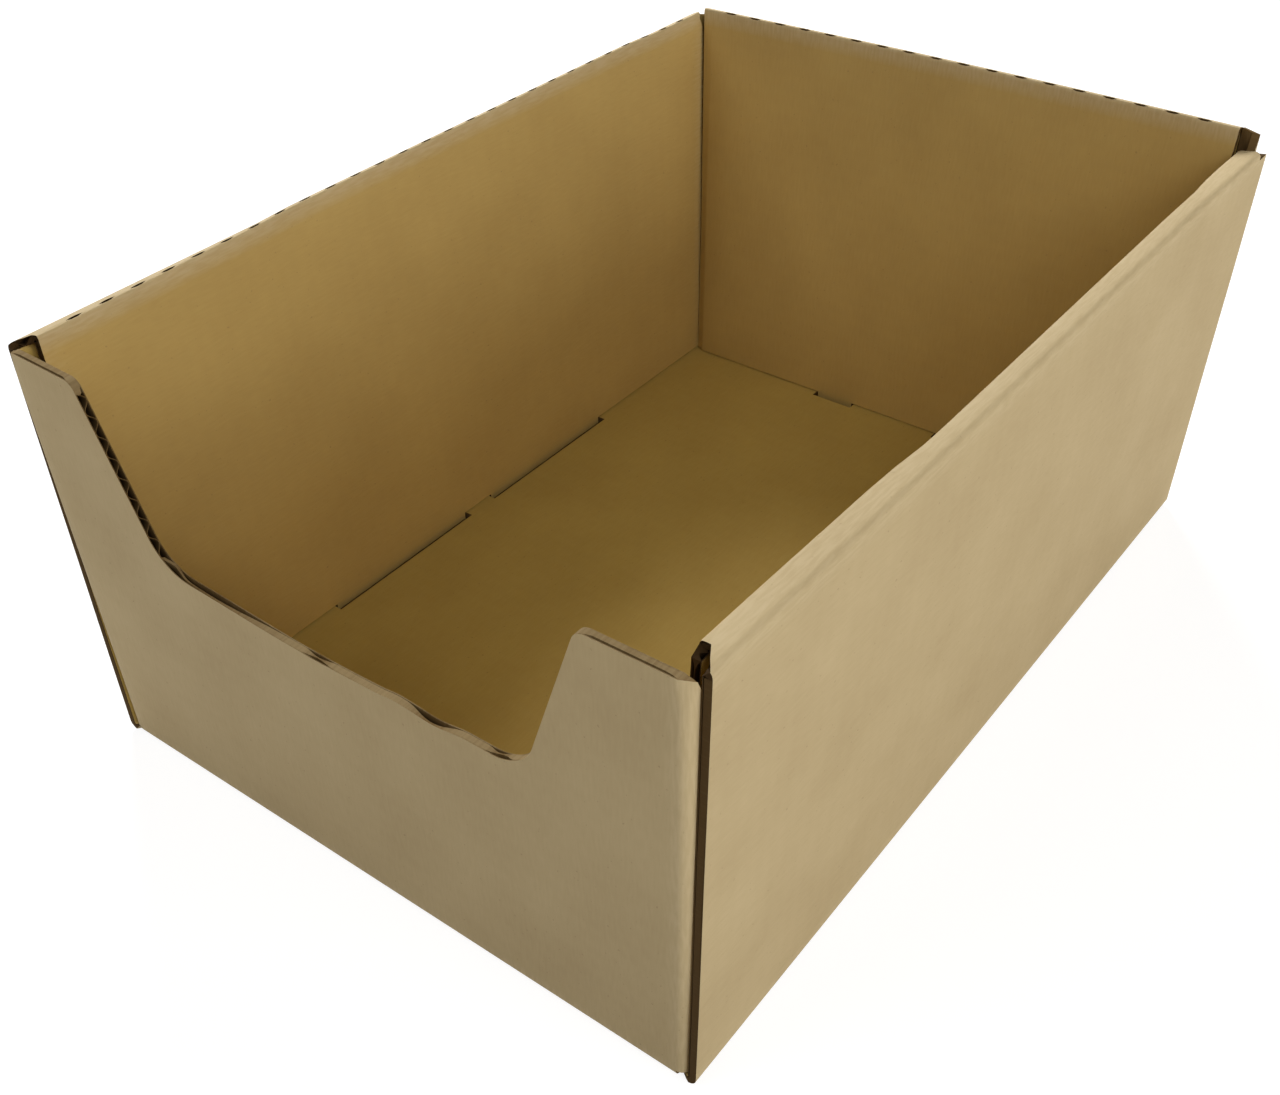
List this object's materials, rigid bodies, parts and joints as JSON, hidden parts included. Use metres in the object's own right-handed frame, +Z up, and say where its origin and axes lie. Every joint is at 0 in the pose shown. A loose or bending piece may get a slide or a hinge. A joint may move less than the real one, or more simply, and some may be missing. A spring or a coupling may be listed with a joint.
{
  "type": "cardboard drawer tray",
  "caption": "Open corrugated cardboard drawer tray, folded from one sheet, with rolled double side and back walls and a single front wall with a scooped hand cut-out.",
  "frame": {"origin": "middle of the tray's footprint, on its underside", "axes": "+X to the right seen from the front, +Y from the scooped front wall to the back wall, +Z up"},
  "size_m": [0.25, 0.352, 0.16],
  "materials": {
    "kraft_board": "matt brown kraft liner on single-wall corrugated board, with raw fluted edges"
  },
  "bodies": {
    "root": {"tray": "kraft_board"}
  },
  "joints": []
}
